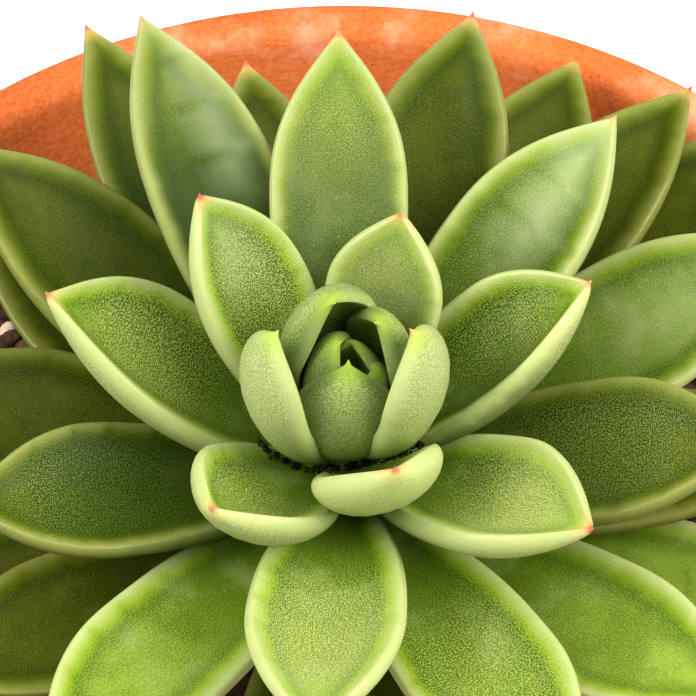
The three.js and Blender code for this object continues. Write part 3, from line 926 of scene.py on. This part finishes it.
# %% [markdown]
# ## Crumbs and grit
# A crumb of soil and a grain of grit are each modelled in two shapes, from small rough balls.
# Every copy is let go above the soil and comes to rest where it meets it. The draws are
# repeatable, so the file gives the same pot each time. A note called "shade" gives each copy a
# draw of its own, from which its finish takes its colour.

# %% A rough little ball, and its copies
DROP_HEIGHT = 118 * MM
BALL_DETAIL = 2
MOST_TILT = 0.7


def pebble(name, roughness, grain):
    """A rough ball of radius 1, to be copied. It returns its corners and faces."""
    deselect()
    bpy.ops.mesh.primitive_ico_sphere_add(subdivisions=BALL_DETAIL, radius=1)
    ball = bpy.context.object
    texture = bpy.data.textures.new(name, "CLOUDS")
    texture.noise_scale = grain
    change = ball.modifiers.new("knobs", "DISPLACE")
    change.texture = texture
    change.strength = roughness
    bpy.ops.object.modifier_apply(modifier="knobs")
    corners = np.array([v.co[:] for v in ball.data.vertices])
    faces = np.array([p.vertices[:] for p in ball.data.polygons])
    bpy.data.objects.remove(ball)
    return corners, faces


def ground(pieces):
    """The pieces' faces as one thing that a ray can meet."""
    corners, faces = [], []
    for piece in pieces:
        start = len(corners)
        corners += [v.co.copy() for v in piece.data.vertices]
        faces += [[start + i for i in p.vertices] for p in piece.data.polygons]
    return BVHTree.FromPolygons(corners, faces)


def scatter(name, balls, places, squash, salt):
    """Copies of the balls as one mesh, squashed downwards. A place is (point, size)."""
    corners, faces, shades = [], [], []
    start = 0
    for i, (point, size) in enumerate(places):
        ball, ball_faces = balls[i % len(balls)]
        turn = Matrix.Rotation(2 * math.pi * draw(i, salt), 3, "Z")
        tilt = Matrix.Rotation(MOST_TILT * (draw(i, salt + 1) - 0.5), 3, "X")
        scale = Matrix.Diagonal((size, size * (0.7 + 0.3 * draw(i, salt + 2)), size * squash))
        shaped = ball @ np.array(turn @ tilt @ scale).T * MM + np.array(point)
        corners.append(shaped)
        faces.append(ball_faces + start)
        shades += [draw(i, salt + 3)] * len(ball)
        start += len(ball)
    mesh = bpy.data.meshes.new(name)
    mesh.from_pydata(np.concatenate(corners).tolist(), [], np.concatenate(faces).tolist())
    piece = bpy.data.objects.new(name, mesh)
    bpy.context.collection.objects.link(piece)
    note = mesh.attributes.new("shade", "FLOAT", "POINT")
    note.data.foreach_set("value", np.array(shades, dtype=np.float32))
    mesh.shade_smooth()
    return piece


def drop(tree, x, y):
    """Where something let go above (x, y) comes to rest, or None."""
    return tree.ray_cast(Vector((x, y, DROP_HEIGHT)), Vector((0, 0, -1)))[0]


# %% Loose crumbs and grit on the soil
CRUMBS = 620
GRIT = 70
CRUMB_RING = (9, 56)
GRIT_RING = (12, 52)
soil_tree = ground([soil])
crumb_balls = [pebble("clod_a", 0.55, 0.8), pebble("clod_b", 0.8, 0.55)]
stone_balls = [pebble("stone_a", 0.5, 1.1), pebble("stone_b", 0.35, 0.8)]

crumb_places = []
for i in range(CRUMBS):
    radius = (CRUMB_RING[0] + CRUMB_RING[1] * math.sqrt(draw(i, 21))) * MM
    angle = 2 * math.pi * draw(i, 22)
    point = drop(soil_tree, radius * math.cos(angle), radius * math.sin(angle))
    if point:
        size = 0.5 + 1.3 * draw(i, 23) ** 3
        crumb_places.append((point + Vector((0, 0, 0.25 * size * MM)), size))
crumbs = scatter("soil_crumbs", crumb_balls, crumb_places, squash=0.75, salt=31)
settle(crumbs, "soil")

grit_places = []
for i in range(GRIT):
    radius = (GRIT_RING[0] + GRIT_RING[1] * math.sqrt(draw(i, 1))) * MM
    angle = math.radians(GOLDEN_ANGLE * i + 20 * draw(i, 2))
    point = drop(soil_tree, radius * math.cos(angle), radius * math.sin(angle))
    if point:
        size = 1.5 * (0.7 + 0.7 * draw(i, 3))
        grit_places.append((point + Vector((0, 0, 0.3 * size * MM)), size))
grit = scatter("pale_grit", stone_balls, grit_places, squash=0.7, salt=41)
settle(grit, "soil")
print("crumbs:", len(crumb_places), "grit:", len(grit_places))

# %% [markdown]
# ## Earth and stone
# Potting mix is nearly black where it is damp and brown where it has dried, with pale fibres in
# it. The grit is crushed stone, from cream to a dusty pink.

# %% Soil and grit finishes
def soil_finish(name, blackening):
    """Potting mix, turned towards black by the given share."""
    f = Finish(name, "soil")
    spot = f.node("TexCoord", output="Object")
    lumps = f.noise(spot, 260, 5.0, 0.7)
    grains = f.node("TexVoronoi", {"feature": "F1"}, output="Distance", Vector=spot, Scale=1100.0)
    damp = f.noise(spot, 45, 3.0, 0.5)
    drawn_out = f.node("Mapping", output="Vector", Vector=spot, Scale=(2600, 300, 900))
    fibres = f.noise(drawn_out, 1.0, 1.0, 0.4)
    shade = f.node("Attribute", {"attribute_name": "shade"}, output="Fac")
    earth = f.blend(f.step(lumps, 0.3, 0.7), tint(44, 32, 24), tint(96, 72, 52))
    earth = f.blend(f.step(damp, 0.4, 0.65) * 0.5, earth, tint(34, 26, 20))
    earth = f.blend(shade * 0.35, earth, tint(128, 96, 70))
    earth = f.blend(f.step(fibres, 0.7, 0.78) * 0.45, earth, tint(160, 130, 96))
    earth = f.blend(f.step(grains, 0.25, 0.1) * 0.25, earth, tint(150, 126, 104))
    # Turns the mix towards black; for the heart's specks this is also painted shade of the gap
    # round the bud.
    earth = f.blend(blackening, earth, tint(12, 12, 4))
    small = f.bump(grains, 0.5, 0.0003)
    big = f.bump(lumps, 0.7, 0.0012, small)
    f.feed(Base_Color=earth, Roughness=0.95, Normal=big, Specular_IOR_Level=0.2)
    return f


def grit_finish():
    f = Finish("crushed_stone", "grit")
    spot = f.node("TexCoord", output="Object")
    flecks = f.noise(spot, 900, 4.0, 0.7)
    shade = f.node("Attribute", {"attribute_name": "shade"}, output="Fac")
    stone = f.blend(shade, tint(250, 240, 224), tint(226, 190, 166))
    stone = f.blend(f.step(flecks, 0.45, 0.7) * 0.5, stone, tint(176, 156, 136))
    f.feed(Base_Color=stone, Roughness=0.7, Normal=f.bump(flecks, 0.5, 0.0003))
    return f


earth = soil_finish("potting_mix", 0.0)
# The heart's specks are real crumbs, painted near black so that they also stand for the shade in
# the gap round the bud.
blackened_earth = soil_finish("heart_soil", 0.85)
earth.dress(soil)
earth.dress(crumbs)
stone = grit_finish()
stone.dress(grit)
print("soil and grit finished")

# %% [markdown]
# ## Stem and heart of the shoot
# Under the rosette a short woody stem goes down into the soil. It carries the scars of leaves
# that have dropped, one shallow step above another. Inside the rosette the shoot tapers up to
# its tip; the leaves hide nearly all of it.

# %% Stem
SCARS = 14
FIRST_SCAR = 82
SCARRED = 27

stem_stops = [(3, STEM_FOOT), (5.2, STEM_FOOT + 0.4)]
for k in range(SCARS):
    z = FIRST_SCAR + SCARRED * k / SCARS
    stem_stops += [(5.9 + 0.5 * (k / SCARS) ** 0.5, z), (6.35, z + 0.9)]
    stem_stops.append((6.4 - 0.35 * (k % 2), z + 1.5))
stem_stops += [(5.9, 109.2), (3, 109.4)]
stem = turned("woody_stem", stem_stops, 56)
settle(stem, "stem")

SHOOT_MARGIN = 0.9
shoot_stops = [(3, 109.3), (STEM_RADIUS, 109.3)]
for n in range(44, -1, -4):
    height = HEART_HEIGHT - INTERNODE * (n - HEART_LEAF)
    shoot_stops.append((along(GROWTH["reach"], n) + SHOOT_MARGIN, height))
shoot_stops.append((0.6, 139.6))
shoot = turned("shoot_heart", shoot_stops, 48)
notes = {"place": (-5.0, 0.1, 30.0), "mood": (0.3, 0.3, 0.0), "tone": (0.0, 0.0, 0.0)}
for name, value in notes.items():
    note = shoot.data.attributes.new(name, "FLOAT_VECTOR", "POINT")
    note.data.foreach_set("vector", np.tile(value, len(shoot.data.vertices)).astype(np.float32))
settle(shoot, "rosette")
leaf_skin.dress(shoot)
print("stem rings:", len(stem_stops))

# %% Bark finish
def bark_finish():
    f = Finish("stem_bark", "bark")
    spot = f.node("TexCoord", output="Object")
    x, y, z = f.parts(spot)
    flakes = f.node("CombineXYZ", output="Vector", X=x * 500, Y=y * 500, Z=z * 1600)
    flaky = f.noise(flakes, 1.0, 4.0, 0.65)
    split = {"feature": "DISTANCE_TO_EDGE"}
    cracks = f.node("TexVoronoi", split, output="Distance", Vector=spot, Scale=420.0)
    wood = f.blend(f.step(flaky, 0.3, 0.7), tint(104, 84, 58), tint(168, 146, 104))
    wood = f.blend(f.step(cracks, 0.08, 0.0) * 0.7, wood, tint(62, 46, 32))
    wood = f.blend(f.step(z, 0.1, 0.108) * 0.35, wood, tint(132, 138, 72))
    f.feed(Base_Color=wood, Roughness=0.85, Normal=f.bump(flaky, 0.6, 0.0005))
    return f


bark = bark_finish()
bark.dress(stem)
print("bark on", stem.name)

# %% [markdown]
# ## Specks in the heart
# Dark crumbs of soil have washed into the gap round the bud. They are painted near black and show
# as a ragged black line in front of it, which also stands for the painted shade in that gap. Each
# speck is sown along a line of sight through the picture, on the first leaf of the ring that lies
# there, unless the bud hides it. They come in clumps, a few at a time.

# %% Heart specks
SPECKS = 620
GAP_LINE = [
    (255, 437), (270, 452), (300, 466), (335, 468), (372, 461), (405, 451), (437, 436),
]
GAP_WIDTH = 9
GAP_RISE = 0.35
CLUMP = 9
CLUMPS_LEFT_OUT = 0.3
FOCAL = PIXELS_PER_METRE * DISTANCE
eye = camera.location.copy()
bud_tree = ground(leaves[:HEART_LEAF])
ring_tree = ground(leaves[HEART_LEAF:] + [shoot])


def sight(column, row):
    """The direction in which the camera sees a pixel."""
    view = Vector(((column - PICTURE / 2) / FOCAL, (PICTURE / 2 - row) / FOCAL, -1))
    return (camera.rotation_euler.to_matrix() @ view).normalized()


speck_places = []
for i in range(SPECKS):
    column = GAP_LINE[0][0] + (GAP_LINE[-1][0] - GAP_LINE[0][0]) * (i + draw(i, 61)) / SPECKS
    row = along(GAP_LINE, column) + GAP_WIDTH * (draw(i, 62) - GAP_RISE)
    ray = sight(column, row)
    point, normal, _, far = ring_tree.ray_cast(eye, ray)
    bud_far = bud_tree.ray_cast(eye, ray)[3]
    in_clump = draw(i // CLUMP, 64) > CLUMPS_LEFT_OUT
    if point and in_clump and (bud_far is None or far < bud_far):
        size = 0.07 + 0.22 * draw(i, 63) ** 2
        speck_places.append((point + normal * 0.05 * MM, size))
specks = scatter("heart_specks", crumb_balls, speck_places, squash=0.8, salt=71)
settle(specks, "rosette")
blackened_earth.dress(specks)
print("specks:", len(speck_places))
